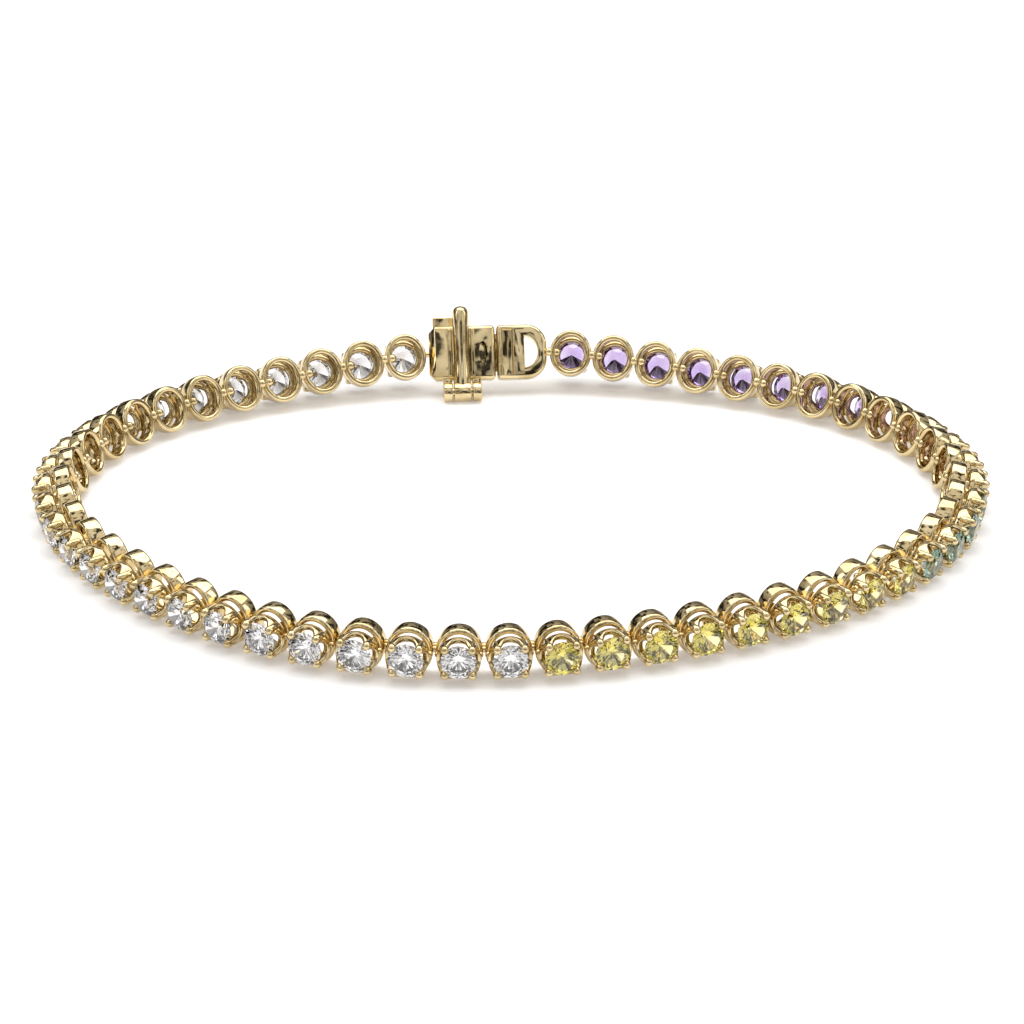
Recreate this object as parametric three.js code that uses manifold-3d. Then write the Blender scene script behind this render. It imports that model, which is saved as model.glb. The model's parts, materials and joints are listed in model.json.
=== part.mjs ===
// Tennis bracelet: a closed loop of four-prong links with round stones, and a box clasp with a safety lever.
// Millimetres, +Z up. The bracelet lies on its side as it was laid down, with the stones facing outwards,
// the clasp at the back (+Y) and its wrist side towards the middle. The origin is the middle of the
// footprint, on the surface that the bracelet lies on.

import * as THREE from 'three';
import { mergeVertices } from 'three/addons/utils/BufferGeometryUtils.js';
import Module from 'manifold-3d';

const wasm = await Module();
wasm.setup();

// Chain
const linksPerString = 26;
const linkPitch = 3.24;

// Base ring of a link, on the wrist side. It is oval: taller across the bracelet than along the chain.
const ringDiameter = 3.12;
const ringHeight = 3.46;
const ringWall = 0.42;
const ringDepth = 1.2;

// Cup of a link, and the groove that parts it from the ring
const cupDiameter = 3;
const cupBaseDiameter = 2.6;
const cupHeight = 1.57;
const scallopDepth = 0.98;
const grooveWidth = 0.18;
const grooveDepth = 0.25;
const prongTipDiameter = 2.7;
const prongLap = 0.24;

// Stone
const stoneDiameter = 2.4;
const tableDiameter = 1.36;
const crownHeight = 0.36;
const pavilionHeight = 1.02;
const tableBelowProngs = 0.02;

// Hinge bar between two links
const barDiameter = 0.5;
const barSides = 5;

// Roundness of the turned pieces
const linkSides = 12;
const sidesBetweenProngs = 3;

// Clasp, along X from the last white link to the first coloured one. Its hinge line is the chain's.
const boxLength = 4.97;
const boxThickness = 1.7;
const boxHeight = 4.1;
const boxWall = 0.34;
const boxEndChamfer = 0.5;
const claspEdgeRound = 0.16;
const faceFromHingeLine = 0.8;
const seamGap = 0.13;
const linkClearance = 0.3;
const stubGap = 0.1;
const almondWidth = 0.6;
const almondHeight = 1.7;
const almondFromSeam = 0.92;

// Safety lever and the guides beside it
const leverWidth = 1.22;
const leverWaist = 1.04;
const leverThickness = 0.74;
const leverRise = 1.44;
const leverEdgeRound = 0.2;
const leverFromBoxEnd = 2.4;
const leverGap = 0.12;
const guideWidth = 0.3;
const guideRise = 0.24;
const guideShortfall = 0.25;

// Hinge of the lever, under the box
const barrelDiameter = 1.44;
const barrelFromFace = 0.36;
const barrelGap = 0.24;
const middleKnuckleLength = 1.3;
const outerKnuckleLength = 0.68;
const knuckleGap = 0.1;
const pinDiameter = 0.6;
const pinClearance = 0.06;
const pinRecess = 0.05;
const lugThickness = 0.28;

// Tongue: the end piece that shows, the blade inside the box and the push tab on the blade
const endPieceLength = 3.75;
const endCornerRound = 1.5;
const endStripWidth = 0.38;
const endRecessWidth = 0.82;
const endRecessDepth = 0.6;
const endRecessMargin = 0.3;
const endBarWidth = 0.88;
const endOpeningWidth = 1;
const endOpeningHeight = 2.36;
const bladeThickness = 0.46;
const bladeClearance = 0.28;
const tabLength = 1.5;
const tabRise = 0.72;
const tabFromBoxEnd = 0.33;
const tabClearance = 0.16;

// What a joined piece reaches into the other, so that the two become one body
const joinDepth = 0.1;

// How the loop that the hinges follow departs from a circle, as shares of its radius. Each row is a wave that
// goes round the loop so many times, starting at the clasp: even is the same on both sides of the clasp, odd
// swings to one side. The odd shares times their waves add up to nothing, so the loop leaves the clasp square.
const loopWaves = [
  { waves: 2, even: -0.115, odd: 0 },
  { waves: 3, even: -0.024, odd: 0.012 },
  { waves: 4, even: 0.012, odd: -0.009 },
  { waves: 5, even: 0.007, odd: 0 },
];

// How far the bracelet leans outwards about its hinge line, stones down, in degrees: this much at the clasp,
// and less and less on the way round to the middle of the front, which stands upright.
const claspLean = 28;

// The lever's hinge stands on the surface and holds the clasp up. The chain comes down to the surface on both
// sides of it, in about this many links.
const liftReach = 4.29;

// Steps of the loop when its length is measured
const loopSteps = 2880;
const weldTolerance = 1e-4;

// Materials
const gold = new THREE.MeshStandardMaterial({ name: 'gold', color: 0xe3c878, roughness: 0.12, metalness: 1 });
const whiteSet = new THREE.MeshStandardMaterial({ name: 'white_set', color: 0xe9e4d2, roughness: 0.1, metalness: 0.6 });
const colouredSet = new THREE.MeshStandardMaterial({ name: 'coloured_set', color: 0xc9c08c, roughness: 0.1, metalness: 0.6 });
for (const material of [gold, whiteSet, colouredSet]) material.flatShading = true;

// A closed solid from a three.js geometry
function solidOf(geometry) {
  const bare = geometry.clone();
  bare.deleteAttribute('normal');
  bare.deleteAttribute('uv');
  const welded = mergeVertices(bare, weldTolerance);
  const corners = welded.index.array;
  const triangles = [];
  for (let i = 0; i < corners.length; i += 3) {
    const [a, b, c] = [corners[i], corners[i + 1], corners[i + 2]];
    if (a !== b && b !== c && c !== a) triangles.push(a, b, c);
  }
  return new wasm.Manifold(new wasm.Mesh({
    numProp: 3,
    vertProperties: Float32Array.from(welded.attributes.position.array),
    triVerts: Uint32Array.from(triangles),
  }));
}

// A named sub-part from a finished solid
function subPart(name, solid, material) {
  const mesh = solid.getMesh();
  const geometry = new THREE.BufferGeometry();
  geometry.setAttribute('position', new THREE.BufferAttribute(mesh.vertProperties, 3));
  geometry.setIndex(new THREE.BufferAttribute(mesh.triVerts, 1));
  geometry.computeVertexNormals();
  const part = new THREE.Mesh(geometry, material);
  part.name = name;
  return part;
}

// A block between two corners
function block(low, high) {
  const size = new THREE.Vector3().subVectors(high, low);
  const geometry = new THREE.BoxGeometry(size.x, size.y, size.z);
  const middle = new THREE.Vector3().addVectors(low, high).multiplyScalar(0.5);
  return solidOf(geometry.translate(middle.x, middle.y, middle.z));
}

// A round bar along X whose flats, top and bottom, lie at its named diameter
function barAlongX(diameter, sides, left, right, y, z) {
  const corner = diameter / 2 / Math.cos(Math.PI / sides);
  const geometry = new THREE.CylinderGeometry(corner, corner, right - left, sides, 1, false, Math.PI / sides);
  geometry.rotateZ(Math.PI / 2);
  return solidOf(geometry.translate((left + right) / 2, y, z));
}

// A plate whose outline is drawn in X and Z, with its edges rounded off, between two depths in Y
function plate(outline, nearY, farY, edgeRound) {
  const geometry = new THREE.ExtrudeGeometry(outline, {
    depth: farY - nearY - 2 * edgeRound,
    bevelEnabled: edgeRound > 0,
    bevelThickness: edgeRound,
    bevelSize: edgeRound,
    bevelOffset: -edgeRound,
    bevelSegments: 1,
    curveSegments: 5,
  });
  geometry.rotateX(Math.PI / 2);
  return solidOf(geometry.translate(0, farY - edgeRound, 0));
}

// The loop of the hinge line, its length and the place at any distance from the clasp
const claspSpan = boxLength + seamGap + endPieceLength + 2 * linkClearance + ringDiameter;
const loopLength = 2 * (linksPerString - 1) * linkPitch + linkPitch + claspSpan;

function loopRadius(angle) {
  let radius = 1;
  for (const row of loopWaves) {
    radius += row.even * Math.cos(row.waves * angle) + row.odd * Math.sin(row.waves * angle);
  }
  return radius;
}

const loopPoints = [];
const loopDistances = [0];
for (let step = 0; step <= loopSteps; step += 1) {
  const angle = (step / loopSteps) * 2 * Math.PI;
  const radius = loopRadius(angle);
  loopPoints.push(new THREE.Vector3(-radius * Math.sin(angle), radius * Math.cos(angle), 0));
  if (step > 0) loopDistances.push(loopDistances[step - 1] + loopPoints[step].distanceTo(loopPoints[step - 1]));
}
const loopScale = loopLength / loopDistances[loopSteps];

function leanAt(distance) {
  const share = (1 + Math.cos((distance / loopLength) * 2 * Math.PI)) / 2;
  return THREE.MathUtils.degToRad(claspLean) * share;
}

// How far a shape reaches below the hinge line when it leans: it is given by how far outwards its points lie
// from that line and how far above it
function reachBelow(points, lean) {
  return Math.max(...points.map(([outwards, above]) => outwards * Math.sin(lean) - above * Math.cos(lean)));
}

// Height of the hinge line at a distance from the clasp's middle, measured one way round
function heightAt(distance) {
  const away = Math.min(distance, loopLength - distance);
  const atClasp = claspSpan / 2;
  const lift = claspHeight - reachBelow(linkReach, leanAt(atClasp));
  const share = Math.exp((atClasp ** 2 - Math.max(away, atClasp) ** 2) / (liftReach * linkPitch) ** 2);
  return reachBelow(linkReach, leanAt(Math.max(away, atClasp))) + lift * share;
}

function hingePoint(distance) {
  const wanted = distance / loopScale;
  const after = Math.min(Math.max(loopDistances.findIndex((d) => d >= wanted), 1), loopSteps);
  const share = (wanted - loopDistances[after - 1]) / (loopDistances[after] - loopDistances[after - 1]);
  const point = loopPoints[after - 1].clone().lerp(loopPoints[after], share).multiplyScalar(loopScale);
  point.z = heightAt(distance);
  return point;
}

// One link. Its turned profile runs from the middle of the stone's table over the prongs and the cup, round the
// base ring and back in to the stone's tip. Halfway along it is drawn up into four prongs: the prong columns
// have their own radius and place. Along is measured outwards from the middle of the base ring, and stretch
// makes the ring oval.
function linkProfile() {
  const ringFront = ringDepth / 2;
  const cupBase = ringFront + grooveWidth;
  const prongTop = cupBase + cupHeight;
  const scallopFloor = prongTop - scallopDepth;
  const table = prongTop - tableBelowProngs;
  const girdle = table - crownHeight;
  const tip = girdle - pavilionHeight;
  const lappedRadius = stoneDiameter / 2 - prongLap;
  const crownSlope = crownHeight / (stoneDiameter / 2 - tableDiameter / 2);
  const floorRadius = (stoneDiameter / 2) * ((scallopFloor - tip) / pavilionHeight);
  const boreRadius = ringDiameter / 2 - ringWall;
  const seatDepth = 0.5 * (scallopFloor + cupBase);
  const ringStretch = ringHeight / ringDiameter;
  const boreStretch = (ringHeight / 2 - ringWall) / boreRadius;
  const atProng = (radius, along, prongRadius, prongAlong) => ({ radius, along, prongRadius, prongAlong, stretch: 1 });
  const same = (radius, along, stretch = 1) => ({ radius, along, prongRadius: radius, prongAlong: along, stretch });
  return [
    same(0, table),
    same(tableDiameter / 2, table),
    atProng(stoneDiameter / 2, girdle, lappedRadius, girdle + crownSlope * prongLap),
    atProng(floorRadius, scallopFloor, lappedRadius, prongTop),
    atProng(cupDiameter / 2, scallopFloor, prongTipDiameter / 2, prongTop),
    same(cupBaseDiameter / 2, cupBase),
    same(cupBaseDiameter / 2 - grooveDepth, (cupBase + ringFront) / 2),
    same(ringDiameter / 2, ringFront, ringStretch),
    same(ringDiameter / 2, -ringFront, ringStretch),
    same(boreRadius, -ringFront, boreStretch),
    same(boreRadius - grooveDepth, seatDepth),
    same(0, tip),
  ].reverse();
}

function linkGeometry() {
  const profile = linkProfile();
  const toCorner = 1 / Math.cos(Math.PI / linkSides);
  const firstColumn = Math.PI / linkSides;
  const points = profile.map((point) => new THREE.Vector2(point.radius * toCorner, point.along));
  const geometry = new THREE.LatheGeometry(points, linkSides, firstColumn);
  const position = geometry.attributes.position;
  for (let column = 1; column <= linkSides; column += sidesBetweenProngs) {
    const angle = firstColumn + (column / linkSides) * 2 * Math.PI;
    profile.forEach((point, row) => {
      const radius = point.prongRadius * toCorner;
      const vertex = column * profile.length + row;
      position.setXYZ(vertex, radius * Math.sin(angle), point.prongAlong, radius * Math.cos(angle));
    });
  }
  for (let vertex = 0; vertex < position.count; vertex += 1) {
    position.setZ(vertex, position.getZ(vertex) * profile[vertex % profile.length].stretch);
  }
  return geometry;
}

// Where a link stands: its stone faces outwards, it leans and it follows the chain's slope
function linkPlace(distance) {
  const reach = linkPitch / 2;
  const middle = hingePoint(distance);
  const onward = hingePoint(Math.min(distance + reach, loopLength));
  const back = hingePoint(Math.max(distance - reach, 0));
  const along = back.sub(onward).normalize();
  const outward = new THREE.Vector3(0, 0, 1).cross(along).normalize();
  const upward = new THREE.Vector3().crossVectors(along, outward);
  const place = new THREE.Matrix4().makeBasis(along, outward, upward).setPosition(middle);
  return place.multiply(new THREE.Matrix4().makeRotationX(-leanAt(distance)));
}

// The bar between two neighbouring rings, deep in both walls
function hingeBar(from, to) {
  const span = new THREE.Vector3().subVectors(to, from);
  const run = span.length() - ringDiameter + 2 * (ringWall / 2);
  const geometry = new THREE.CylinderGeometry(barDiameter / 2, barDiameter / 2, run, barSides, 1);
  const turn = new THREE.Quaternion().setFromUnitVectors(new THREE.Vector3(0, 1, 0), span.clone().normalize());
  const place = new THREE.Matrix4().compose(
    new THREE.Vector3().addVectors(from, to).multiplyScalar(0.5), turn, new THREE.Vector3(1, 1, 1));
  return solidOf(geometry.applyMatrix4(place));
}

// A string of links from the clasp to the middle of the front, one way round or the other
function stringOfLinks(distanceOf) {
  const link = linkGeometry();
  let string = solidOf(link.clone().applyMatrix4(linkPlace(distanceOf(0))));
  for (let i = 1; i < linksPerString; i += 1) {
    string = string.add(solidOf(link.clone().applyMatrix4(linkPlace(distanceOf(i)))));
    string = string.add(hingeBar(hingePoint(distanceOf(i - 1)), hingePoint(distanceOf(i))));
  }
  return string;
}

// Places in the clasp, measured from the middle of its length on the chain's hinge line
const box = {
  left: -claspSpan / 2 + ringDiameter / 2 + linkClearance,
  near: -faceFromHingeLine,
  far: boxThickness - faceFromHingeLine,
  top: boxHeight / 2,
};
box.right = box.left + boxLength;
const endPiece = { left: box.right + seamGap };
endPiece.right = endPiece.left + endPieceLength;
const leverMiddle = box.left + leverFromBoxEnd;
const barrel = { y: box.near - barrelFromFace, z: -box.top - barrelGap - barrelDiameter / 2 };
const hollow = {
  left: box.left + boxWall,
  near: box.near + boxWall,
  far: box.far - boxWall,
  top: box.top - boxWall,
};
const bladeMiddle = (hollow.near + hollow.far) / 2;
const blade = {
  near: bladeMiddle - bladeThickness / 2,
  far: bladeMiddle + bladeThickness / 2,
  top: hollow.top - bladeClearance,
};
const tab = { left: box.left + tabFromBoxEnd, right: box.left + tabFromBoxEnd + tabLength };
const beyond = boxHeight;

// What the links and the clasp stand on, as places outwards from the hinge line and above it
const linkCorners = linkGeometry().attributes.position;
const linkReach = Array.from({ length: linkCorners.count }, (_, i) => [linkCorners.getY(i), linkCorners.getZ(i)]);
const barrelCorner = barrelDiameter / 2 / Math.cos(Math.PI / linkSides);
const claspReach = Array.from({ length: linkSides }, (_, i) => {
  const angle = ((i + 0.5) / linkSides) * 2 * Math.PI;
  return [barrel.y + barrelCorner * Math.sin(angle), barrel.z + barrelCorner * Math.cos(angle)];
});
const claspHeight = reachBelow(claspReach, leanAt(0));

// The two ends of each of the three knuckles along the pin
function knuckles() {
  const half = middleKnuckleLength / 2;
  const outer = half + knuckleGap;
  return {
    middle: [leverMiddle - half, leverMiddle + half],
    left: [leverMiddle - outer - outerKnuckleLength, leverMiddle - outer],
    right: [leverMiddle + outer, leverMiddle + outer + outerKnuckleLength],
  };
}

// The hollow box: open towards the tongue, slotted for the tab, with the almond hole in its wrist face
function claspBox() {
  const outline = new THREE.Shape([
    new THREE.Vector2(box.left, box.top - boxEndChamfer),
    new THREE.Vector2(box.left, -box.top + boxEndChamfer),
    new THREE.Vector2(box.left + boxEndChamfer, -box.top),
    new THREE.Vector2(box.right, -box.top),
    new THREE.Vector2(box.right, box.top),
    new THREE.Vector2(box.left + boxEndChamfer, box.top),
  ]);
  let solid = plate(outline, box.near, box.far, claspEdgeRound);
  for (const side of [-1, 1]) {
    const inner = leverMiddle + side * (leverWidth / 2 + leverGap);
    const outer = inner + side * guideWidth;
    solid = solid.add(block(
      new THREE.Vector3(Math.min(inner, outer), box.near - guideRise, -box.top + guideShortfall),
      new THREE.Vector3(Math.max(inner, outer), box.near + joinDepth, box.top - guideShortfall)));
  }
  const { left, right } = knuckles();
  for (const [from, to] of [left, right]) {
    solid = solid.add(barAlongX(barrelDiameter, linkSides, from, to, barrel.y, barrel.z));
    solid = solid.add(block(
      new THREE.Vector3(from, box.near, barrel.z),
      new THREE.Vector3(to, box.near + lugThickness, -box.top + joinDepth)));
  }
  const stubEnd = box.left - linkClearance + stubGap;
  solid = solid.add(barAlongX(barDiameter, barSides, stubEnd, box.left + joinDepth, 0, 0));
  solid = solid.subtract(block(
    new THREE.Vector3(hollow.left, hollow.near, -hollow.top),
    new THREE.Vector3(box.right + beyond, hollow.far, hollow.top)));
  solid = solid.subtract(block(
    new THREE.Vector3(tab.left - tabClearance, blade.near - tabClearance, 0),
    new THREE.Vector3(tab.right + tabClearance, blade.far + tabClearance, beyond)));
  const almond = new THREE.CylinderGeometry(1, 1, 2 * boxWall, linkSides);
  almond.scale(almondWidth / 2, 1, almondHeight / 2);
  solid = solid.subtract(solidOf(almond.translate(box.right - almondFromSeam, box.near, 0)));
  const bore = pinDiameter + 2 * pinClearance;
  return solid.subtract(barAlongX(bore, linkSides, left[0] - beyond, right[1] + beyond, barrel.y, barrel.z));
}

// The tongue: end piece with its recess and D-shaped opening, blade and push tab
function claspTongue() {
  const outline = new THREE.Shape();
  const top = box.top;
  outline.moveTo(endPiece.left, top);
  outline.lineTo(endPiece.left, -top);
  outline.absarc(endPiece.right - endCornerRound, -top + endCornerRound, endCornerRound, -Math.PI / 2, 0);
  outline.absarc(endPiece.right - endCornerRound, top - endCornerRound, endCornerRound, 0, Math.PI / 2);
  let solid = plate(outline, box.near, box.far, claspEdgeRound);
  const recessLeft = endPiece.left + endStripWidth;
  const recessRight = recessLeft + endRecessWidth;
  solid = solid.subtract(block(
    new THREE.Vector3(recessLeft, box.near - joinDepth, -top + endRecessMargin),
    new THREE.Vector3(recessRight, box.near + endRecessDepth, top - endRecessMargin)));
  const opening = new THREE.Shape();
  const openingLeft = recessRight + endBarWidth;
  opening.moveTo(openingLeft, -endOpeningHeight / 2);
  opening.absellipse(openingLeft, 0, endOpeningWidth, endOpeningHeight / 2, -Math.PI / 2, Math.PI / 2);
  solid = solid.subtract(plate(opening, box.near - joinDepth, box.far + joinDepth, 0));
  solid = solid.add(block(
    new THREE.Vector3(tab.left, blade.near, -blade.top),
    new THREE.Vector3(endPiece.left + joinDepth, blade.far, blade.top)));
  solid = solid.add(block(
    new THREE.Vector3(tab.left, blade.near, 0),
    new THREE.Vector3(tab.right, blade.far, box.top + tabRise)));
  const stubEnd = endPiece.right + linkClearance - stubGap;
  return solid.add(barAlongX(barDiameter, barSides, endPiece.right - joinDepth, stubEnd, 0, 0));
}

// The lever: it widens into the middle knuckle below and has a round top
function safetyLever() {
  const half = leverWidth / 2;
  const top = box.top + leverRise;
  const knuckle = middleKnuckleLength / 2;
  const outline = new THREE.Shape();
  outline.moveTo(leverMiddle + knuckle, barrel.z);
  outline.lineTo(leverMiddle + knuckle, -box.top);
  outline.quadraticCurveTo(leverMiddle + leverWaist / 2, -box.top / 2, leverMiddle + leverWaist / 2, 0);
  outline.quadraticCurveTo(leverMiddle + leverWaist / 2, box.top / 2, leverMiddle + half, box.top);
  outline.absarc(leverMiddle, top - half, half, 0, Math.PI);
  outline.lineTo(leverMiddle - half, box.top);
  outline.quadraticCurveTo(leverMiddle - leverWaist / 2, box.top / 2, leverMiddle - leverWaist / 2, 0);
  outline.quadraticCurveTo(leverMiddle - leverWaist / 2, -box.top / 2, leverMiddle - knuckle, -box.top);
  outline.lineTo(leverMiddle - knuckle, barrel.z);
  const far = box.near - leverGap;
  let solid = plate(outline, far - leverThickness, far, leverEdgeRound);
  const [from, to] = knuckles().middle;
  solid = solid.add(barAlongX(barrelDiameter, linkSides, from, to, barrel.y, barrel.z));
  const bore = pinDiameter + 2 * pinClearance;
  return solid.subtract(barAlongX(bore, linkSides, from - beyond, to + beyond, barrel.y, barrel.z));
}

function hingePin() {
  const { left, right } = knuckles();
  return barAlongX(pinDiameter, linkSides, left[0] + pinRecess, right[1] - pinRecess, barrel.y, barrel.z);
}

// The whole bracelet, with the clasp where the loop starts
const bracelet = new THREE.Group();
const white = stringOfLinks((i) => claspSpan / 2 + i * linkPitch);
const coloured = stringOfLinks((i) => loopLength - claspSpan / 2 - i * linkPitch);
bracelet.add(subPart('white_stone_links', white, whiteSet));
bracelet.add(subPart('coloured_stone_links', coloured, colouredSet));

const clasp = new THREE.Group();
clasp.position.set(0, hingePoint(0).y, claspHeight);
clasp.rotation.x = -leanAt(0);
clasp.add(subPart('clasp_box', claspBox(), gold));
clasp.add(subPart('clasp_tongue', claspTongue(), gold));
clasp.add(subPart('safety_lever', safetyLever(), gold));
clasp.add(subPart('hinge_pin', hingePin(), gold));
bracelet.add(clasp);

// Bring the middle of the footprint to the origin
const bounds = new THREE.Box3().setFromObject(bracelet, true);
const middle = bounds.getCenter(new THREE.Vector3());
bracelet.position.set(-middle.x, -middle.y, -bounds.min.z);

export default bracelet;
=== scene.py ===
# A tennis bracelet lying on its side: hinged links with round stones, a box clasp and a safety lever.
import json
import math

import bpy
from mathutils import Matrix, Vector


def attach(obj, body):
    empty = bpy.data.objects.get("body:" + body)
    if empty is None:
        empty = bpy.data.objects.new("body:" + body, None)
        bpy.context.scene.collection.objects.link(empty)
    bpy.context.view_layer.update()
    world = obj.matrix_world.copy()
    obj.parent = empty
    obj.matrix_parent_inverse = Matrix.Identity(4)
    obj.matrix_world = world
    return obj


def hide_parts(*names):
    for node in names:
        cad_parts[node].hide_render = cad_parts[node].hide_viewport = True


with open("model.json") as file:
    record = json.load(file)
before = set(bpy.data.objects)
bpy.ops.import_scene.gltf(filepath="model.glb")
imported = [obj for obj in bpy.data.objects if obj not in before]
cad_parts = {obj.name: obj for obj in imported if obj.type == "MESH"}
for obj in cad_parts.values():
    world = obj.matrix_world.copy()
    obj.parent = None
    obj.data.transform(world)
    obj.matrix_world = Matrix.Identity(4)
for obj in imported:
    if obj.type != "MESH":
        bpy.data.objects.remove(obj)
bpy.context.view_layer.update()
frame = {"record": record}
mm = 0.001


# One link's setting: a round cup with four prongs, cast in gold with the ring that carries it. The ring
# lies against the wrist, and a groove that is open above and below parts it from the cup. Here the setting
# stands with its stone side up, and the link's top faces -Y.
ring_radius = 1.56 * mm
ring_stretch = 1.73 / 1.56
ring_wall = 0.42 * mm
ring_depth = 1.2 * mm
ring_edge = 0.19 * mm
ring_sides = 40
post_radius = 1.3 * mm
post_wall = 0.34 * mm
post_foot = 0.5 * mm
post_top = 0.92 * mm
post_reach = 48
post_edge = 0.05 * mm
post_sides = 32
cup_sides = 32
cup_foot = (0.78 * mm, 1.27 * mm)
cup_rows = [(0.9 * mm, 1.38 * mm), (1.06 * mm, 1.45 * mm), (1.26 * mm, 1.49 * mm), (1.48 * mm, 1.5 * mm),
            (1.72 * mm, 1.49 * mm), (1.95 * mm, 1.46 * mm), (2.16 * mm, 1.41 * mm)]
inner_rows_from = 2
cup_lip = 0.27 * mm
seat_row = (1.24 * mm, 0.96 * mm)
seat_foot = (0.78 * mm, 1.0 * mm)
fixed_rows = 3
scallop_floor = 1.37 * mm
scallop_width = 0.85 * mm
cup_fold = 70
prong_radius = 0.3 * mm
prong_top = 2.37 * mm
prong_foot = 1.1 * mm
prong_circle = 1.29 * mm
prong_lean = math.radians(3)
bead_sides = 12
bead_rings = 8
nugget_radius = 0.24 * mm
nugget_place = (1.38 * mm, 0.0, 0.74 * mm)
bar_radius = 0.22 * mm
bar_from = 0.95 * mm
bar_to = 1.92 * mm
bar_depth = -0.1 * mm
ball_radius = 0.32 * mm
ball_place = (-1.02 * mm, 0, -0.42 * mm)
knuckle_ball_radius = 0.33 * mm
knuckle_ball_place = (-1.62 * mm, 0, -0.46 * mm)
sharp_edge = 60
fold_edge = 50
hair = 0.001 * mm
sliver = 0.01 * mm


def clear_selection():
    if bpy.context.object and bpy.context.object.mode != "OBJECT":
        bpy.ops.object.mode_set(mode="OBJECT")
    bpy.ops.object.select_all(action="DESELECT")


def edit(piece):
    clear_selection()
    piece.select_set(True)
    bpy.context.view_layer.objects.active = piece
    bpy.ops.object.mode_set(mode="EDIT")
    bpy.ops.mesh.select_all(action="DESELECT")


def pick(piece, kind, test):
    bpy.ops.object.mode_set(mode="OBJECT")
    mesh = piece.data
    for item in list(mesh.polygons) + list(mesh.edges) + list(mesh.vertices):
        item.select = False
    items = {"VERT": mesh.vertices, "EDGE": mesh.edges, "FACE": mesh.polygons}[kind]
    for item in items:
        if kind == "VERT":
            item.select = test(item.co)
        elif kind == "EDGE":
            item.select = test(*[mesh.vertices[v].co for v in item.vertices])
        else:
            item.select = test(item.center, item.normal)
    bpy.ops.object.mode_set(mode="EDIT")
    bpy.ops.mesh.select_mode(type=kind)


def apply_modifier(piece, kind, **settings):
    clear_selection()
    piece.select_set(True)
    bpy.context.view_layer.objects.active = piece
    modifier = piece.modifiers.new(kind.title(), kind)
    for name, value in settings.items():
        setattr(modifier, name, value)
    bpy.ops.object.modifier_apply(modifier=modifier.name)


def rounded(piece, width, steps, sharpest):
    apply_modifier(piece, "BEVEL", width=width, segments=steps, limit_method="ANGLE",
                   angle_limit=math.radians(sharpest))


def joined(name, parts):
    clear_selection()
    for part in parts:
        part.select_set(True)
    bpy.context.view_layer.objects.active = parts[0]
    bpy.ops.object.transform_apply(location=True, rotation=True, scale=True)
    if len(parts) > 1:
        bpy.ops.object.join()
    piece = bpy.context.object
    piece.name = name
    piece.data.name = name
    return piece


def smoothed(piece, angle):
    clear_selection()
    piece.select_set(True)
    bpy.context.view_layer.objects.active = piece
    bpy.ops.object.shade_smooth_by_angle(angle=math.radians(angle))
    return piece


def base_ring():
    clear_selection()
    bpy.ops.mesh.primitive_cylinder_add(
        vertices=ring_sides, radius=ring_radius, depth=ring_depth, end_fill_type="NOTHING")
    bpy.context.object.scale = (1, ring_stretch, 1)
    ring = joined("ring", [bpy.context.object])
    apply_modifier(ring, "SOLIDIFY", thickness=ring_wall, offset=-1)
    rounded(ring, ring_edge, 3, sharp_edge)
    return smoothed(ring, fold_edge)


def side_posts():
    clear_selection()
    bpy.ops.mesh.primitive_cylinder_add(
        vertices=post_sides, radius=post_radius, depth=post_top - post_foot, end_fill_type="NOTHING",
        location=(0, 0, (post_top + post_foot) / 2))
    posts = joined("posts", [bpy.context.object])
    edit(posts)
    pick(posts, "FACE",
         lambda centre, normal: math.degrees(math.atan2(abs(centre.y), abs(centre.x))) > post_reach)
    bpy.ops.mesh.delete(type="FACE")
    bpy.ops.object.mode_set(mode="OBJECT")
    apply_modifier(posts, "SOLIDIFY", thickness=post_wall, offset=-1)
    rounded(posts, post_edge, 1, sharp_edge)
    return smoothed(posts, fold_edge)


def scallop_height(turn):
    aside = math.sin(math.radians(45 - turn)) * cup_rows[fixed_rows][1]
    if aside >= scallop_width:
        return cup_rows[-1][0]
    rise = scallop_width - math.sqrt(scallop_width ** 2 - aside ** 2)
    return scallop_floor + rise


def cup_radius(height):
    rows = [cup_foot] + cup_rows
    for (z0, r0), (z1, r1) in zip(rows, rows[1:]):
        if height <= z1:
            return r0 + (r1 - r0) * (height - z0) / (z1 - z0)
    return rows[-1][1]


# From the nearest prong round to a point, in degrees: 0 at a prong and 45 in the middle of a scallop
def turn_from_prong(point):
    return abs(math.degrees(math.atan2(point.y, point.x)) % 90 - 45)


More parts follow.
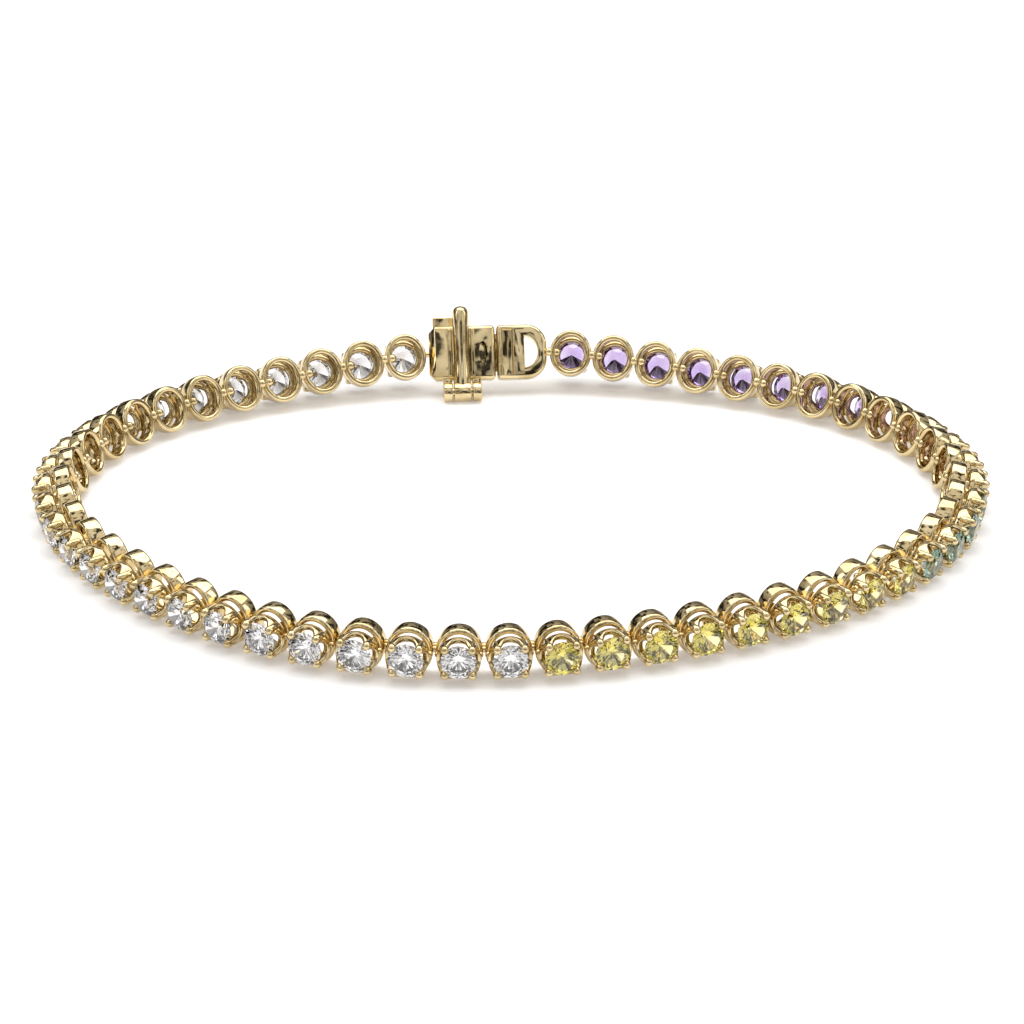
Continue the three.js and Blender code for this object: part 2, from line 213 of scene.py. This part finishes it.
def cup():
    clear_selection()
    bpy.ops.mesh.primitive_circle_add(vertices=cup_sides, radius=cup_foot[1], location=(0, 0, cup_foot[0]))
    wall = joined("cup", [bpy.context.object])
    edit(wall)
    bpy.ops.mesh.select_mode(type="EDGE")
    bpy.ops.mesh.select_all(action="SELECT")
    inner = [(height, radius - cup_lip) for height, radius in reversed(cup_rows[inner_rows_from:])]
    height, radius = cup_foot
    for next_height, next_radius in cup_rows + inner + [seat_row, seat_foot]:
        bpy.ops.mesh.extrude_edges_move(TRANSFORM_OT_translate={"value": (0, 0, next_height - height)})
        share = next_radius / radius
        bpy.ops.transform.resize(value=(share, share, 1), center_override=(0, 0, 0))
        height, radius = next_height, next_radius
    bpy.ops.mesh.select_all(action="SELECT")
    pick(wall, "EDGE", lambda a, b: max(abs(a.z - cup_foot[0]), abs(b.z - cup_foot[0])) < hair)
    bpy.ops.mesh.bridge_edge_loops()
    floor_row = cup_rows[fixed_rows - 1][0]
    top_row = cup_rows[-1][0]
    for step in range(1, cup_sides // 8 + 1):
        turn = step * 360 / cup_sides
        target = scallop_height(turn)
        for row in range(fixed_rows, len(cup_rows)):
            from_height, from_radius = cup_rows[row]
            share = (from_height - floor_row) / (top_row - floor_row)
            to_height = floor_row + (target - floor_row) * share
            pick(wall, "VERT",
                 lambda p: abs(turn_from_prong(p) - turn) < 1 and abs(p.z - from_height) < hair)
            bpy.ops.transform.translate(value=(0, 0, to_height - from_height))
            share = cup_radius(to_height) / from_radius
            bpy.ops.transform.resize(value=(share, share, 1), center_override=(0, 0, 0))
    bpy.ops.mesh.select_all(action="SELECT")
    bpy.ops.mesh.normals_make_consistent(inside=False)
    bpy.ops.object.mode_set(mode="OBJECT")
    apply_modifier(wall, "SUBSURF", levels=1, render_levels=1)
    return smoothed(wall, cup_fold)


def bead(radius, location):
    clear_selection()
    bpy.ops.mesh.primitive_uv_sphere_add(
        segments=bead_sides, ring_count=bead_rings, radius=radius, location=location)
    return smoothed(bpy.context.object, sharp_edge)


def prongs():
    made = []
    for corner in range(4):
        prong = bead(prong_radius, (0, 0, 0))
        edit(prong)
        pick(prong, "VERT", lambda p: p.z < -sliver)
        bpy.ops.transform.translate(value=(0, 0, prong_foot - prong_top + 2 * prong_radius))
        bpy.ops.object.mode_set(mode="OBJECT")
        place = Matrix.Rotation(math.radians(45 + 90 * corner), 4, "Z")
        place = place @ Matrix.Translation((prong_circle, 0, prong_top - prong_radius))
        prong.matrix_world = place @ Matrix.Rotation(-prong_lean, 4, "Y")
        made.append(prong)
    return joined("prongs", made)


def hinge_bar():
    clear_selection()
    bpy.ops.mesh.primitive_cylinder_add(
        vertices=bead_sides, radius=bar_radius, depth=bar_to - bar_from,
        location=(-(bar_to + bar_from) / 2, 0, bar_depth), rotation=(0, math.pi / 2, 0))
    bar = smoothed(joined("bar", [bpy.context.object]), sharp_edge)
    parts = [bar, bead(ball_radius, ball_place), bead(knuckle_ball_radius, knuckle_ball_place)]
    for side in (-1, 1):
        parts.append(bead(nugget_radius, (side * nugget_place[0], nugget_place[1], nugget_place[2])))
    return parts


link_setting = joined("link_setting", [base_ring(), side_posts(), cup(), prongs()] + hinge_bar())


# The course of the chain: the hinges follow a loop that is a little flattened. The links at the clasp lean
# outwards, stones down, and those at the front stand upright. The chain comes down to the surface on both
# sides of the clasp, which stands on the hinge of its lever. The links are 3.24 mm apart.
links_per_string = 26
link_pitch = 3.24 * mm
clasp_span = 12.57 * mm
clasp_height = 2.839 * mm
clasp_lean = math.radians(28)
lever_hinge = Vector((-2.025, -1.16, -3.01)) * mm
link_corners = [(0.6 * mm, 1.73 * mm), (1.37 * mm, 1.5 * mm), (1.97 * mm, 1.2 * mm),
                (2.35 * mm, 0.988 * mm)]
lift_reach = 4.29
loop_waves = [(2, -0.115, 0), (3, -0.024, 0.012), (4, 0.012, -0.009), (5, 0.007, 0)]
loop_steps = 2880
loop_length = (2 * links_per_string - 1) * link_pitch + clasp_span


def loop_point(step):
    angle = step / loop_steps * 2 * math.pi
    radius = 1 + sum(even * math.cos(waves * angle) + odd * math.sin(waves * angle)
                     for waves, even, odd in loop_waves)
    return Vector((-radius * math.sin(angle), radius * math.cos(angle), 0))


loop_points = [loop_point(step) for step in range(loop_steps + 1)]
loop_distances = [0]
for before, after in zip(loop_points, loop_points[1:]):
    loop_distances.append(loop_distances[-1] + (after - before).length)
loop_scale = loop_length / loop_distances[-1]


def lean_at(distance):
    return clasp_lean * (1 + math.cos(distance / loop_length * 2 * math.pi)) / 2


def resting_height(lean):
    return max(outwards * math.sin(lean) + below * math.cos(lean) for outwards, below in link_corners)


def hinge_point(distance):
    wanted = distance / loop_scale
    after = 1
    while after < loop_steps and loop_distances[after] < wanted:
        after += 1
    share = (wanted - loop_distances[after - 1]) / (loop_distances[after] - loop_distances[after - 1])
    point = loop_points[after - 1].lerp(loop_points[after], share) * loop_scale
    at_clasp = clasp_span / 2
    away = max(min(distance, loop_length - distance), at_clasp)
    lift = clasp_height - resting_height(lean_at(at_clasp))
    share = math.exp((at_clasp ** 2 - away ** 2) / (lift_reach * link_pitch) ** 2)
    point.z = resting_height(lean_at(away)) + lift * share
    return point


# The clasp's own place, on the chain's hinge line. The lever's hinge tells where the loop lies.
clasp_place = Matrix.Translation((0, hinge_point(0).y, clasp_height)) @ Matrix.Rotation(-clasp_lean, 4, "X")
lever_joint = frame["record"]["behaviour"]["joints"][0]
footprint_shift = Vector(lever_joint["pos_m"]) - clasp_place @ lever_hinge
clasp_place = Matrix.Translation(footprint_shift) @ clasp_place


def link_place(distance):
    middle = hinge_point(distance)
    onward = hinge_point(min(distance + link_pitch / 2, loop_length))
    back = hinge_point(max(distance - link_pitch / 2, 0))
    along = (back - onward).normalized()
    outward = Vector((0, 0, 1)).cross(along).normalized()
    upward = along.cross(outward)
    turn = Matrix((along, -upward, outward)).transposed().to_4x4()
    return Matrix.Translation(middle + footprint_shift) @ turn @ Matrix.Rotation(-lean_at(distance), 4, "X")


link_distances = [clasp_span / 2 + index * link_pitch for index in range(links_per_string)]
white_places = [link_place(distance) for distance in link_distances]
coloured_places = [link_place(loop_length - distance) for distance in link_distances]


def copies(master, name, places):
    made = []
    for place in places:
        copy = master.copy()
        copy.data = master.data.copy()
        bpy.context.scene.collection.objects.link(copy)
        copy.matrix_world = place
        made.append(copy)
    return joined(name, made)


# Polished pale yellow gold. Its tone varies a little, fine wear dulls it in spots, and the polish leaves
# faint waves, a little higher and wider on the cast clasp than on the settings.
gold_pale = (0.76, 0.62, 0.36, 1)
gold_deep = (0.58, 0.45, 0.23, 1)


def gold_finish(name, waves_per_metre, wave_height):
    material = bpy.data.materials.new(name)
    material.use_nodes = True
    nodes = material.node_tree.nodes
    links = material.node_tree.links
    shader = nodes["Principled BSDF"]
    shader.inputs["Metallic"].default_value = 1
    place = nodes.new("ShaderNodeTexCoord")
    tone = nodes.new("ShaderNodeTexNoise")
    tone.inputs["Scale"].default_value = 700
    tone.inputs["Detail"].default_value = 3
    links.new(place.outputs["Object"], tone.inputs["Vector"])
    colour = nodes.new("ShaderNodeValToRGB")
    colour.color_ramp.elements[0].position = 0.35
    colour.color_ramp.elements[0].color = gold_deep
    colour.color_ramp.elements[1].position = 0.6
    colour.color_ramp.elements[1].color = gold_pale
    links.new(tone.outputs["Fac"], colour.inputs["Fac"])
    links.new(colour.outputs["Color"], shader.inputs["Base Color"])
    wear = nodes.new("ShaderNodeTexNoise")
    wear.inputs["Scale"].default_value = 2600
    wear.inputs["Detail"].default_value = 4
    links.new(place.outputs["Object"], wear.inputs["Vector"])
    polish = nodes.new("ShaderNodeMapRange")
    polish.inputs["From Min"].default_value = 0.35
    polish.inputs["From Max"].default_value = 0.7
    polish.inputs["To Min"].default_value = 0.05
    polish.inputs["To Max"].default_value = 0.14
    links.new(wear.outputs["Fac"], polish.inputs["Value"])
    links.new(polish.outputs["Result"], shader.inputs["Roughness"])
    waves = nodes.new("ShaderNodeTexNoise")
    waves.inputs["Scale"].default_value = waves_per_metre
    waves.inputs["Detail"].default_value = 1
    links.new(place.outputs["Object"], waves.inputs["Vector"])
    relief = nodes.new("ShaderNodeBump")
    relief.inputs["Strength"].default_value = 1
    relief.inputs["Distance"].default_value = wave_height
    links.new(waves.outputs["Fac"], relief.inputs["Height"])
    links.new(relief.outputs["Normal"], shader.inputs["Normal"])
    return material


polished_gold = gold_finish("polished_gold", 900, 0.03 * mm)
cast_gold = gold_finish("cast_gold", 800, 0.05 * mm)

white_settings = copies(link_setting, "white_settings", white_places)
white_settings.data.materials.append(polished_gold)
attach(white_settings, "bracelet")
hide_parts("white_stone_links")

coloured_settings = copies(link_setting, "coloured_settings", coloured_places)
coloured_settings.data.materials.append(polished_gold)
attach(coloured_settings, "bracelet")
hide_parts("coloured_stone_links")

clear_selection()
bpy.data.objects.remove(link_setting)


# The stones: round brilliants of 2.4 mm, each with a table, eight stars, eight bezels, sixteen upper and
# sixteen lower girdle facets and eight mains. They are held at the girdle by the four prongs.
girdle_radius = 1.2 * mm
girdle_height = 1.97 * mm
girdle_half = 0.02 * mm
table_radius = 0.7 * mm
crown_height = 0.36 * mm
star_radius = 0.94 * mm
pavilion_depth = 1.02 * mm
lower_radius = 0.3 * mm
crown_slope = crown_height / (girdle_radius - table_radius)
pavilion_slope = pavilion_depth / girdle_radius
half_facet = math.radians(22.5)


def brilliant():
    clear_selection()
    star_height = girdle_half + crown_slope * (girdle_radius - star_radius * math.cos(half_facet))
    lower_height = -girdle_half - pavilion_slope * (girdle_radius - lower_radius * math.cos(half_facet))
    rings = [
        (8, table_radius, girdle_half + crown_height, 0),
        (8, star_radius, star_height, half_facet),
        (16, girdle_radius, girdle_half, 0),
        (16, girdle_radius, -girdle_half, 0),
        (8, lower_radius, lower_height, half_facet),
        (3, 0.01 * mm, -girdle_half - pavilion_depth, 0),
    ]
    made = []
    for corners, radius, height, turn in rings:
        bpy.ops.mesh.primitive_circle_add(
            vertices=corners, radius=radius, location=(0, 0, girdle_height + height), rotation=(0, 0, turn))
        made.append(bpy.context.object)
    stone = joined("brilliant", made)
    edit(stone)
    bpy.ops.mesh.select_all(action="SELECT")
    bpy.ops.mesh.convex_hull()
    bpy.ops.mesh.select_all(action="SELECT")
    bpy.ops.mesh.dissolve_limited(angle_limit=math.radians(0.5))
    bpy.ops.mesh.select_all(action="SELECT")
    bpy.ops.mesh.normals_make_consistent(inside=False)
    bpy.ops.object.mode_set(mode="OBJECT")
    return stone


def stone_finish(name, clear, tint, depth, bending):
    material = bpy.data.materials.new(name)
    material.use_nodes = True
    nodes = material.node_tree.nodes
    links = material.node_tree.links
    shader = nodes["Principled BSDF"]
    shader.inputs["Roughness"].default_value = 0.0
    shader.inputs["IOR"].default_value = bending
    shader.inputs["Transmission Weight"].default_value = 1
    place = nodes.new("ShaderNodeTexCoord")
    zones = nodes.new("ShaderNodeTexNoise")
    zones.inputs["Scale"].default_value = 700
    zones.inputs["Detail"].default_value = 1
    links.new(place.outputs["Object"], zones.inputs["Vector"])
    colour = nodes.new("ShaderNodeValToRGB")
    colour.color_ramp.elements[0].position = 0.4
    colour.color_ramp.elements[0].color = clear
    colour.color_ramp.elements[1].position = 0.6
    colour.color_ramp.elements[1].color = (1, 1, 1, 1)
    links.new(zones.outputs["Fac"], colour.inputs["Fac"])
    links.new(colour.outputs["Color"], shader.inputs["Base Color"])
    body = nodes.new("ShaderNodeVolumeAbsorption")
    body.inputs["Color"].default_value = tint
    body.inputs["Density"].default_value = depth
    links.new(body.outputs["Volume"], nodes["Material Output"].inputs["Volume"])
    return material


loose_stone = brilliant()
# Each kind: its slot, its links, its surface colour, its body colour, how deep that is, how it bends light
stone_kinds = [
    ("white_stone", white_places, (0.97, 0.97, 1, 1), (0.93, 0.93, 0.97, 1), 30, 2.2),
    ("violet_stone", coloured_places[0:8], (0.82, 0.72, 0.97, 1), (0.42, 0.16, 0.7, 1), 520, 1.77),
    ("pink_stone", coloured_places[8:12], (0.97, 0.84, 0.93, 1), (0.78, 0.34, 0.62, 1), 420, 1.77),
    ("green_stone", coloured_places[12:17], (0.85, 0.93, 0.84, 1), (0.34, 0.56, 0.4, 1), 500, 1.77),
    ("yellow_stone", coloured_places[17:], (1, 0.98, 0.58, 1), (0.9, 0.82, 0.05, 1), 560, 1.77),
]
for slot_name, places, clear, tint, depth, bending in stone_kinds:
    stones = copies(loose_stone, slot_name + "s", places)
    stones.data.materials.append(stone_finish(slot_name + "_cut", clear, tint, depth, bending))
    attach(stones, "bracelet")
clear_selection()
bpy.data.objects.remove(loose_stone)

# The case of the box clasp: a hollow box of gold sheet with rounded edges, open towards the tongue. It has
# an almond hole in its wrist face, a slot for the push tab, two rails beside the lever, and two of the three
# knuckles of the lever's hinge, on lugs under the box.
case_low = Vector((-4.425, -0.8, -2.05)) * mm
case_high = Vector((0.545, 0.9, 2.05)) * mm
case_wall = 0.34 * mm
case_end_chamfer = 0.5 * mm
case_edge = 0.3 * mm
sheet_fold = 40
lever_middle = -2.025 * mm
rail_gap = 0.72 * mm
rail_width = 0.3 * mm
rail_rise = 0.24 * mm
rail_shortfall = 0.25 * mm
rail_edge = 0.08 * mm
almond_place = -0.375 * mm
almond_size = (0.3 * mm, 0.85 * mm)
slot_low = Vector((-4.255, -0.34, 0)) * mm
slot_high = Vector((-2.435, 0.44, 3)) * mm
knuckle_radius = 0.72 * mm
knuckle_wall = 0.36 * mm
knuckle_edge = 0.1 * mm
knuckle_sides = 32
knuckle_spans = [(-1.43 * mm, -0.75 * mm), (0.75 * mm, 1.43 * mm)]
lug_near = -0.8 * mm
lug_far = -0.52 * mm
lug_edge = 0.05 * mm
lug_rise = 0.3 * mm
root = 0.1 * mm
past = 1 * mm
stub_length = 0.5 * mm


def cuboid(low, high, edge=0.0, segments=2):
    clear_selection()
    bpy.ops.mesh.primitive_cube_add(size=1)
    made = bpy.context.object
    made.scale = Vector(high) - Vector(low)
    made.location = (Vector(high) + Vector(low)) / 2
    made = joined("cuboid", [made])
    if edge:
        rounded(made, edge, segments, sheet_fold)
        smoothed(made, sheet_fold)
    return made


def cut_out(piece, cutter):
    apply_modifier(piece, "BOOLEAN", operation="DIFFERENCE", solver="EXACT", object=cutter)
    clear_selection()
    bpy.data.objects.remove(cutter)


def rod_along_x(radius, left, right, y, z, edge=0.0, sides=32, wall=0.0):
    clear_selection()
    bpy.ops.mesh.primitive_cylinder_add(
        vertices=sides, radius=radius, depth=right - left, location=((left + right) / 2, y, z),
        rotation=(0, math.pi / 2, 0), end_fill_type="NOTHING" if wall else "NGON")
    made = joined("rod", [bpy.context.object])
    if wall:
        apply_modifier(made, "SOLIDIFY", thickness=wall, offset=-1)
    if edge:
        rounded(made, edge, 3, sharp_edge)
    return smoothed(made, fold_edge)


def set_in_clasp(piece, name):
    clear_selection()
    piece.matrix_world = clasp_place
    return joined(name, [piece])


def almond_cutter():
    clear_selection()
    bpy.ops.mesh.primitive_cylinder_add(
        vertices=32, radius=1, depth=2 * case_wall, location=(almond_place, case_low.y, 0),
        rotation=(math.pi / 2, 0, 0))
    cutter = bpy.context.object
    cutter.scale = (almond_size[0], almond_size[1], 1)
    return joined("cutter", [cutter])


def clasp_case():
    case = cuboid(case_low, case_high)
    edit(case)
    pick(case, "EDGE", lambda a, b: max(a.x, b.x) < case_low.x + sliver and abs(a.y - b.y) > past)
    bpy.ops.mesh.bevel(offset=case_end_chamfer, segments=1)
    bpy.ops.object.mode_set(mode="OBJECT")
    rounded(case, case_edge, 4, sharp_edge)
    cut_out(case, cuboid(case_low + Vector((1, 1, 1)) * case_wall,
                         Vector((case_high.x + past, case_high.y - case_wall, case_high.z - case_wall))))
    cut_out(case, almond_cutter())
    cut_out(case, cuboid(slot_low, slot_high))
    smoothed(case, sheet_fold)
    parts = [case]
    for side in (-1, 1):
        inner = lever_middle + side * rail_gap
        outer = inner + side * rail_width
        parts.append(cuboid((min(inner, outer), case_low.y - rail_rise, case_low.z + rail_shortfall),
                            (max(inner, outer), case_low.y + root, case_high.z - rail_shortfall),
                            rail_edge, 3))
    for left, right in knuckle_spans:
        parts.append(rod_along_x(knuckle_radius, lever_middle + left, lever_middle + right,
                                 lever_hinge.y, lever_hinge.z, knuckle_edge, knuckle_sides, knuckle_wall))
        parts.append(cuboid((lever_middle + left, lug_near, lever_hinge.z + lug_rise),
                            (lever_middle + right, lug_far, case_low.z + root), lug_edge, 2))
    parts.append(rod_along_x(bar_radius, case_low.x - stub_length, case_low.x + root, 0, 0, 0, bead_sides))
    return set_in_clasp(joined("clasp_case", parts), "clasp_case")


case = clasp_case()
case.data.materials.clear()
case.data.materials.append(cast_gold)
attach(case, "bracelet")
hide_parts("clasp_box")


# The tongue's end piece, cast in one with the loop that the first coloured link hangs in: a strip, a deep
# recess, a bar and a D-shaped opening. Its blade goes into the box, and the push tab stands up through the
# slot.
end_low = Vector((0.675, -0.8, -2.05)) * mm
end_high = Vector((4.425, 0.9, 2.05)) * mm
end_corner = 1.5 * mm
end_edge = 0.3 * mm
recess_low = Vector((1.055, -1.8, -1.75)) * mm
recess_high = Vector((1.875, -0.2, 1.75)) * mm
opening_left = 2.755 * mm
opening_size = (1.0 * mm, 1.18 * mm)
rim_round = 0.1 * mm
blade_low = Vector((-4.095, -0.18, -1.43)) * mm
blade_high = Vector((0.775, 0.28, 1.43)) * mm
tab_low = Vector((-4.095, -0.18, 0)) * mm
tab_high = Vector((-2.595, 0.28, 2.77)) * mm
blade_edge = 0.06 * mm
tab_edge = 0.1 * mm
end_corner_steps = 10
opening_sides = 48
cutter_reach = 4 * mm


def opening_cutter():
    clear_selection()
    bpy.ops.mesh.primitive_cylinder_add(
        vertices=opening_sides, radius=1, depth=cutter_reach, rotation=(math.pi / 2, 0, 0))
    cutter = bpy.context.object
    cutter.scale = (opening_size[0], opening_size[1], 1)
    cutter = joined("cutter", [cutter])
    edit(cutter)
    bpy.ops.mesh.select_all(action="SELECT")
    bpy.ops.mesh.bisect(plane_co=(0, 0, 0), plane_no=(1, 0, 0), use_fill=True, clear_inner=True)
    bpy.ops.object.mode_set(mode="OBJECT")
    cutter.location = (opening_left, 0, 0)
    return joined("cutter", [cutter])


def clasp_end():
    end = cuboid(end_low, end_high)
    edit(end)
    pick(end, "EDGE", lambda a, b: min(a.x, b.x) > end_high.x - sliver and abs(a.y - b.y) > past)
    bpy.ops.mesh.bevel(offset=end_corner, segments=end_corner_steps)
    bpy.ops.object.mode_set(mode="OBJECT")
    rounded(end, end_edge, 4, sharp_edge)
    cut_out(end, cuboid(recess_low, recess_high))
    cut_out(end, opening_cutter())
    rounded(end, rim_round, 3, sharp_edge)
    smoothed(end, sheet_fold)
    parts = [end, cuboid(blade_low, blade_high, blade_edge, 2), cuboid(tab_low, tab_high, tab_edge, 3)]
    return set_in_clasp(joined("clasp_end", parts), "clasp_end")


end = clasp_end()
end.data.materials.clear()
end.data.materials.append(cast_gold)
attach(end, "bracelet")
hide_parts("clasp_tongue")


# The safety lever: a half-round bar with a domed top and a slight waist, which widens below into the middle
# knuckle. It swings down on the hinge pin.
lever_back = -0.92 * mm
lever_depth = 0.74 * mm
lever_half = 0.63
lever_rows = [(-3.0, 0.65), (-2.3, 0.65), (-1.9, 0.65), (-1.4, 0.61), (-0.7, 0.58), (0.0, 0.57), (0.8, 0.58),
              (1.5, 0.61), (2.05, lever_half), (2.85, lever_half), (3.1, 0.6), (3.3, 0.5), (3.43, 0.34),
              (3.49, 0.15)]
lever_sides = 40
middle_knuckle = (-0.65 * mm, 0.65 * mm)


def lever():
    clear_selection()
    first, half = lever_rows[0]
    bpy.ops.mesh.primitive_circle_add(
        vertices=lever_sides, radius=half * mm, location=(0, 0, first * mm), fill_type="NGON")
    bar = joined("lever", [bpy.context.object])
    edit(bar)
    bpy.ops.mesh.select_all(action="SELECT")
    for (z0, half0), (z1, half1) in zip(lever_rows, lever_rows[1:]):
        bpy.ops.mesh.extrude_region_move(TRANSFORM_OT_translate={"value": (0, 0, (z1 - z0) * mm)})
        bpy.ops.transform.resize(value=(half1 / half0, half1 / half0, 1), center_override=(0, 0, 0))
    bpy.ops.mesh.select_all(action="SELECT")
    share = lever_depth / (lever_half * mm)
    bpy.ops.transform.resize(value=(1, share, 1), center_override=(0, 0, 0))
    bpy.ops.mesh.bisect(plane_co=(0, 0, 0), plane_no=(0, 1, 0), use_fill=True, clear_outer=True)
    bpy.ops.mesh.select_all(action="SELECT")
    bpy.ops.mesh.normals_make_consistent(inside=False)
    bpy.ops.transform.translate(value=(lever_middle, lever_back, 0))
    bpy.ops.object.mode_set(mode="OBJECT")
    smoothed(bar, fold_edge)
    knuckle = rod_along_x(knuckle_radius, lever_middle + middle_knuckle[0], lever_middle + middle_knuckle[1],
                          lever_hinge.y, lever_hinge.z, knuckle_edge, knuckle_sides, knuckle_wall)
    return set_in_clasp(joined("lever_bar", [bar, knuckle]), "lever_bar")


lever_bar = lever()
lever_bar.data.materials.clear()
lever_bar.data.materials.append(polished_gold)
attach(lever_bar, "safety_lever")
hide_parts("safety_lever")


# The hinge pin: plain gold wire through the three knuckles, with its ends rounded over
pin_radius = 0.3 * mm
pin_edge = 0.1 * mm
pin_sides = 24
pin_span = (-1.38 * mm, 1.38 * mm)
pin = set_in_clasp(rod_along_x(pin_radius, lever_middle + pin_span[0], lever_middle + pin_span[1],
                               lever_hinge.y, lever_hinge.z, pin_edge, pin_sides), "lever_pin")
pin.data.materials.clear()
pin.data.materials.append(polished_gold)
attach(pin, "bracelet")
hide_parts("hinge_pin")


# The surface that the bracelet lies on: smooth white paper lit a little from below, which fills the picture
floor_half = 0.6


def pale_floor():
    clear_selection()
    bpy.ops.mesh.primitive_grid_add(x_subdivisions=8, y_subdivisions=8, size=2 * floor_half)
    floor = bpy.context.object
    floor.name = "floor"
    material = bpy.data.materials.new("white_paper")
    material.use_nodes = True
    nodes = material.node_tree.nodes
    shader = nodes["Principled BSDF"]
    shader.inputs["Base Color"].default_value = (0.92, 0.92, 0.93, 1)
    shader.inputs["Emission Color"].default_value = (1, 0.98, 0.97, 1)
    shader.inputs["Emission Strength"].default_value = 0.25
    shader.inputs["Roughness"].default_value = 0.6
    floor.data.materials.append(material)
    return floor


pale_floor()


# Plain soft studio light: a wide panel above, a small one at each side, and a room that is light at the sides
# and overhead and darker in front and low behind. Dark gaps between its cloths give the polish its dark lines
# and the stones their play.
def soft_panel(name, location, target, width, height, power, colour):
    data = bpy.data.lights.new(name, "AREA")
    data.shape = "RECTANGLE"
    data.size = width
    data.size_y = height
    data.energy = power
    data.color = colour
    panel = bpy.data.objects.new(name, data)
    bpy.context.scene.collection.objects.link(panel)
    panel.location = location
    panel.rotation_euler = (Vector(target) - Vector(location)).to_track_quat("-Z", "Y").to_euler()
    return panel


soft_panel("top_panel", (0.02, 0.16, 0.55), (0, 0, 0), 0.9, 0.5, 3.0, (1, 0.99, 0.97))
for name, side in (("left_panel", -1), ("right_panel", 1)):
    soft_panel(name, (side * 0.5, -0.05, 0.3), (0, 0, 0), 0.12, 0.3, 0.25, (1, 0.98, 0.95))
room = bpy.data.worlds.new("room")
room.use_nodes = True
room_nodes = room.node_tree.nodes
room_links = room.node_tree.links
direction = room_nodes.new("ShaderNodeTexCoord")
parts = room_nodes.new("ShaderNodeSeparateXYZ")
room_links.new(direction.outputs["Generated"], parts.inputs["Vector"])


def tone_ramp(stops, source):
    ramp = room_nodes.new("ShaderNodeValToRGB")
    for index, (position, tone) in enumerate(stops):
        element = ramp.color_ramp.elements[index] if index < 2 else ramp.color_ramp.elements.new(position)
        element.position = position
        element.color = (tone, tone * 0.99, tone * 0.98, 1)
    room_links.new(source, ramp.inputs["Fac"])
    return ramp


def blended(kind, share, below, above):
    mix = room_nodes.new("ShaderNodeMix")
    mix.data_type = "RGBA"
    mix.blend_type = kind
    if share is None:
        mix.inputs[0].default_value = 1
    else:
        room_links.new(share, mix.inputs[0])
    room_links.new(below, mix.inputs[6])
    room_links.new(above, mix.inputs[7])
    return mix


front_tone = tone_ramp([(0.05, 0.6), (1.0, 1.05), (0.16, 0.35), (0.4, 0.5), (0.55, 0.8), (0.75, 1.0)],
                       parts.outputs["Z"])
back_tone = tone_ramp([(0.0, 0.2), (1.0, 1.0), (0.3, 0.26), (0.6, 0.6)], parts.outputs["Z"])
facing = room_nodes.new("ShaderNodeMapRange")
facing.inputs["From Min"].default_value = -0.45
facing.inputs["From Max"].default_value = 0.1
room_links.new(parts.outputs["Y"], facing.inputs["Value"])
aside = room_nodes.new("ShaderNodeMath")
aside.operation = "ABSOLUTE"
room_links.new(parts.outputs["X"], aside.inputs[0])
side_share = room_nodes.new("ShaderNodeMapRange")
side_share.inputs["From Min"].default_value = 0.2
side_share.inputs["From Max"].default_value = 0.5
room_links.new(aside.outputs["Value"], side_share.inputs["Value"])
side_tone = tone_ramp([(0.0, 0.8), (1.0, 1.2)], parts.outputs["Z"])
front_walls = blended("MIX", side_share.outputs["Result"], front_tone.outputs["Color"],
                      side_tone.outputs["Color"])
walls = blended("MIX", facing.outputs["Result"], front_walls.outputs[2], back_tone.outputs["Color"])
gaps = room_nodes.new("ShaderNodeTexNoise")
gaps.inputs["Scale"].default_value = 4.6
gaps.inputs["Detail"].default_value = 1
room_links.new(direction.outputs["Generated"], gaps.inputs["Vector"])
gap_tone = tone_ramp([(0.44, 0.05), (0.5, 1.0)], gaps.outputs["Fac"])
cloth = blended("MULTIPLY", None, walls.outputs[2], gap_tone.outputs["Color"])
room_links.new(cloth.outputs[2], room_nodes["Background"].inputs["Color"])
room_nodes["Background"].inputs["Strength"].default_value = 0.95
bpy.context.scene.world = room
bpy.context.scene.view_settings.view_transform = "Standard"


# The camera stands in front and looks a little down, through a long lens
camera_distance = 340 * mm
camera_azimuth = math.radians(3.79)
camera_elevation = math.radians(23.557)
camera_aim = Vector((-0.206, -1.886, 1.524)) * mm
camera_data = bpy.data.cameras.new("camera")
camera_data.sensor_width = 36
camera_data.lens = 169.699
camera_data.clip_start = 0.01
camera_data.clip_end = 10
camera = bpy.data.objects.new("camera", camera_data)
bpy.context.scene.collection.objects.link(camera)
view_direction = Vector((
    math.sin(camera_azimuth) * math.cos(camera_elevation),
    math.cos(camera_azimuth) * math.cos(camera_elevation),
    -math.sin(camera_elevation)))
camera.location = camera_aim - camera_distance * view_direction
camera.rotation_euler = view_direction.to_track_quat("-Z", "Y").to_euler()
bpy.context.scene.camera = camera
